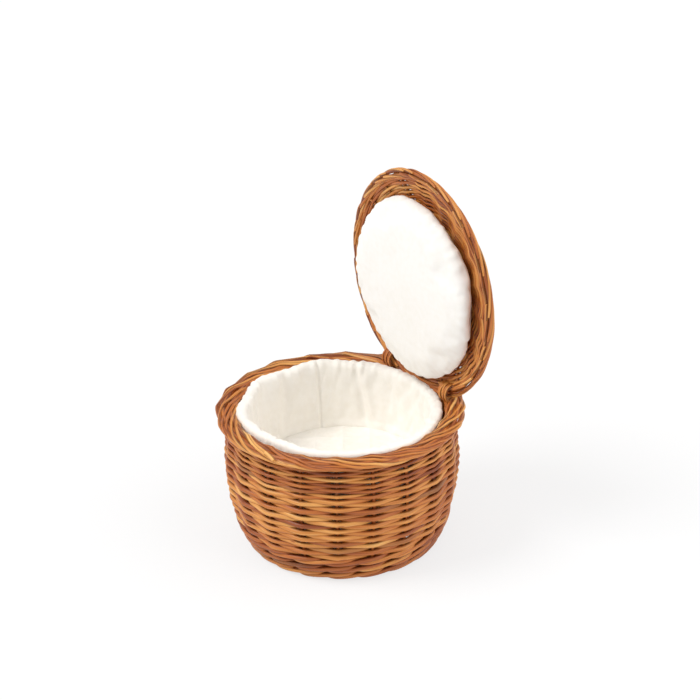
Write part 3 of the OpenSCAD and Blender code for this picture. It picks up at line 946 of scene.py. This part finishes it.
lining = turned("lining_cloth", lining_profile, True, 540, 110, lining_push, edge_shift)
lining.data.materials.append(SHADED_LINING)
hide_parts("lining_wall")
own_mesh(lining)


def quilting(x, y, size):
    """How far a quilted face stands out between its crossing rows of stitches, 0 to 1."""
    u = np.abs(np.sin(math.pi * x / size))
    v = np.abs(np.sin(math.pi * y / size))
    return (u * v) ** 0.45


QUILT_PITCH = 34
QUILT_DEPTH = 3.2
QUILT_SINK = 1.2


def floor_push(a, r, z):
    """Quilting on the top, which ends before the floor's edge, and waves at the edge."""
    rng = np.random.default_rng(83)
    x, y = r * np.cos(a + 0.6), r * np.sin(a + 0.6)
    top = np.clip((z - 89) / 2, 0, 1) * np.clip((101 - r) / 6, 0, 1)
    edge = waves(a, rng, range(6, 24), 0.3) * np.clip(r / 100, 0, 1)
    return top * (QUILT_DEPTH * quilting(x, y, QUILT_PITCH) - QUILT_SINK) + edge


floor_profile = rounded([(0, 92), (60, 92.2), (96, 91.6), (101.6, 91.2), (101.6, 86.4), (96, 86.3),
                         (0, 86.3)], False, 2)
quilt = turned("quilted_floor", floor_profile, False, 360, 140, floor_push)
quilt.data.materials.append(SHADED_LINING)
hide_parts("lining_floor")


def cushion_push(a, r, z):
    """The cushion a little smaller than its profile, with soft lumps."""
    rng = np.random.default_rng(85)
    return waves(a + z * 0.01, rng, range(3, 21), 0.7) * np.clip(r / 90, 0, 1) - 0.9


cushion_profile = rounded([(0, 22.4), (70, 22.4), (92, 22.6), (101.4, 27), (108.5, 45), (113.5, 65),
                           (117.0, 85.2), (90, 85.4), (0, 85.4)], False, 2)
cushion = turned("seat_cushion", cushion_profile, False, 240, 90, cushion_push)
cushion.data.materials.append(WADDING)
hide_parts("floor_cushion")


# The lid's pad: the CAD pad a little smaller, blown up as cloth.
def copy_of(node, name):
    made = show(name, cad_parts[node].data.copy())
    made.data.materials.clear()
    tidy(made)
    return made


def voxel(piece, size):
    modifier = piece.modifiers.new("remesh", "REMESH")
    modifier.mode = "VOXEL"
    modifier.voxel_size = size
    bake(piece)


def bake(piece):
    """Applies every modifier that the piece has."""
    graph = bpy.context.evaluated_depsgraph_get()
    plain = bpy.data.meshes.new_from_object(piece.evaluated_get(graph), depsgraph=graph)
    piece.modifiers.clear()
    piece.data = plain


def corners(piece):
    out = np.zeros(len(piece.data.vertices) * 3)
    piece.data.vertices.foreach_get("co", out)
    return out.reshape(-1, 3)


def put_corners(piece, points):
    piece.data.vertices.foreach_set("co", points.ravel())
    piece.data.update()


def blow_up(piece, pressure, most, frames=20):
    """Runs the cloth for some frames and keeps every point within most of where it was."""
    before = corners(piece)
    cloth = piece.modifiers.new("cloth", "CLOTH")
    cloth.settings.use_pressure = True
    cloth.settings.uniform_pressure_force = pressure
    cloth.settings.effector_weights.gravity = 0
    cloth.settings.mass = 0.3
    cloth.settings.quality = 5
    for step in range(1, frames + 1):
        scene.frame_set(step)
    bake(piece)
    scene.frame_set(1)
    after = corners(piece)
    moved = after - before
    size = np.linalg.norm(moved, axis=1, keepdims=True)
    put_corners(piece, before + moved * np.minimum(1, most / np.maximum(size, 1e-9)))


PAD_START = np.array([0.978, 0.96, 0.978])
PAD_EDGE_R = 108
# Where the cloth is drawn further out: degrees round the pad, how far, half width in degrees.
PAD_FULLER = [(125, 5.0, 28), (200, 3.0, 35), (-80, 5.0, 42)]
# How much further the pad stands out on its -x side.
PAD_BULGE = 4.5
PAD_FOLDS = 30
pad = copy_of("lid_pad", "lid_pad_cloth")
low, high = (np.array(c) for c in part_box("lid_pad"))
middle = (low + high) / 2
points = corners(pad)
put_corners(pad, middle + (points - middle) * PAD_START)
voxel(pad, size=0.005)
blow_up(pad, pressure=4.0, most=0.004)
subdivided = pad.modifiers.new("subdivision", "SUBSURF")
subdivided.levels = 1
subdivided.render_levels = 1
bake(pad)
pad_points = corners(pad) / MM
pad_rng = np.random.default_rng(91)
px = pad_points[:, 0]
py = pad_points[:, 2] - (HINGE_Z + HINGE_REACH)
pad_r = np.hypot(px, py)
pad_a = np.arctan2(py, px)
facing = np.clip((HINGE_Y + 2 - pad_points[:, 1]) / 8, 0, 1)
for at, far, width in PAD_FULLER:
    away = np.angle(np.exp(1j * (pad_a - math.radians(at)))) / math.radians(width)
    grown = 1 + far / PAD_EDGE_R * np.exp(-away ** 2) * np.clip(pad_r / PAD_EDGE_R, 0, 1)
    px = px * grown
    py = py * grown
pad_points[:, 1] -= PAD_BULGE * facing * np.clip((-px - 20) / 80, 0, 1)
pad_r = np.hypot(px, py)
pucker = waves(pad_a, pad_rng, range(17, 64, 3), 1.0)
near_edge = np.exp(-((pad_r - PAD_EDGE_R) / 9) ** 2)
pad_points[:, 1] += facing * near_edge * pucker * 0.9
shrink = 1 + facing * near_edge * waves(pad_a, pad_rng, range(14, 50, 3), 1.0) * 0.006
pad_points[:, 0] = px * shrink
pad_points[:, 2] = HINGE_Z + HINGE_REACH + py * shrink
for _ in range(PAD_FOLDS):
    at = pad_rng.uniform(0, 2 * math.pi)
    from_r = pad_rng.uniform(55, PAD_EDGE_R)
    cx, cy = from_r * math.cos(at), from_r * math.sin(at)
    lean = at + pad_rng.normal(0, 0.5)
    dx, dy = px - cx, py - cy
    lengthwise = dx * math.cos(lean) + dy * math.sin(lean)
    sideways = -dx * math.sin(lean) + dy * math.cos(lean)
    long, wide = pad_rng.uniform(9, 24), pad_rng.uniform(2.0, 4.0)
    fold = np.exp(-(lengthwise / long) ** 2 - (sideways / wide) ** 2)
    pad_points[:, 1] += facing * fold * pad_rng.uniform(0.25, 0.8) * pad_rng.choice([-1, 1])
put_corners(pad, pad_points * MM)
tidy(pad)
pad.data.materials.append(LINEN)
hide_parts("lid_pad")

for piece, body, slot, fill in ((lining, "basket", "linen", 0.5), (quilt, "basket", "linen", 0.4),
                                (cushion, "basket", "wadding", 0.7), (pad, "lid", "linen", 0.7)):
    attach(piece, body)

# Floor, background and light. The floor and the world look white to the camera, and light the
# object at a plain level.
FLOOR_GLOW = 0.72
WORLD_LIGHT = 0.58
floor = show("floor", bpy.data.meshes.new("floor"))
floor.data.from_pydata([(-4, -4, 0), (4, -4, 0), (4, 4, 0), (-4, 4, 0)], [], [(0, 1, 2, 3)])
floor_paper, tree, shader = new_material("floor_paper", 0.9)
grain = add_node(tree, "ShaderNodeTexNoise", {"Scale": 300.0})
tree.links.new(add_node(tree, "ShaderNodeTexCoord").outputs["Object"], grain.inputs["Vector"])
tree.links.new(ramp(tree, grain.outputs[0], [(0.3, (0.90, 0.90, 0.90, 1)), (0.7, (0.92, 0.92, 0.92, 1))]),
               shader.inputs["Base Color"])
rays = add_node(tree, "ShaderNodeLightPath").outputs
seen = math_node(tree, "MAXIMUM", math_node(tree, "MAXIMUM", rays["Is Camera Ray"], rays["Is Glossy Ray"]),
                 rays["Is Transmission Ray"])
glow = add_node(tree, "ShaderNodeEmission", {"Color": (1, 1, 1, 1), "Strength": 1.0})
mixed = add_node(tree, "ShaderNodeMixShader", {0: math_node(tree, "MULTIPLY", seen, FLOOR_GLOW),
                                                1: shader.outputs[0], 2: glow.outputs[0]})
tree.links.new(mixed.outputs[0], tree.nodes["Material Output"].inputs["Surface"])
floor.data.materials.append(floor_paper)

world = bpy.data.worlds.new("studio")
world.use_nodes = True
scene.world = world
tree = world.node_tree
rays = add_node(tree, "ShaderNodeLightPath").outputs
seen = math_node(tree, "MAXIMUM", rays["Is Camera Ray"], rays["Is Transmission Ray"])
strength = add_node(tree, "ShaderNodeMapRange", {"Value": seen, "To Min": WORLD_LIGHT, "To Max": 1.0})
background = tree.nodes["Background"]
background.inputs["Color"].default_value = (1, 1, 1, 1)
tree.links.new(strength.outputs[0], background.inputs["Strength"])


def lamp(name, strength, angle, azimuth, elevation):
    """A soft lamp far away. Its angles are in degrees, and azimuth turns from the front."""
    made = bpy.data.objects.new(name, bpy.data.lights.new(name, "SUN"))
    scene.collection.objects.link(made)
    made.data.energy = strength
    made.data.angle = math.radians(angle)
    a = math.radians(azimuth)
    e = math.radians(elevation)
    source = Vector((math.sin(a) * math.cos(e), -math.cos(a) * math.cos(e), math.sin(e)))
    made.rotation_euler = (-source).to_track_quat("-Z", "Y").to_euler()


lamp("key_light", strength=1.7, angle=30, azimuth=-22, elevation=52)
lamp("fill_light", strength=1.0, angle=60, azimuth=130, elevation=40)
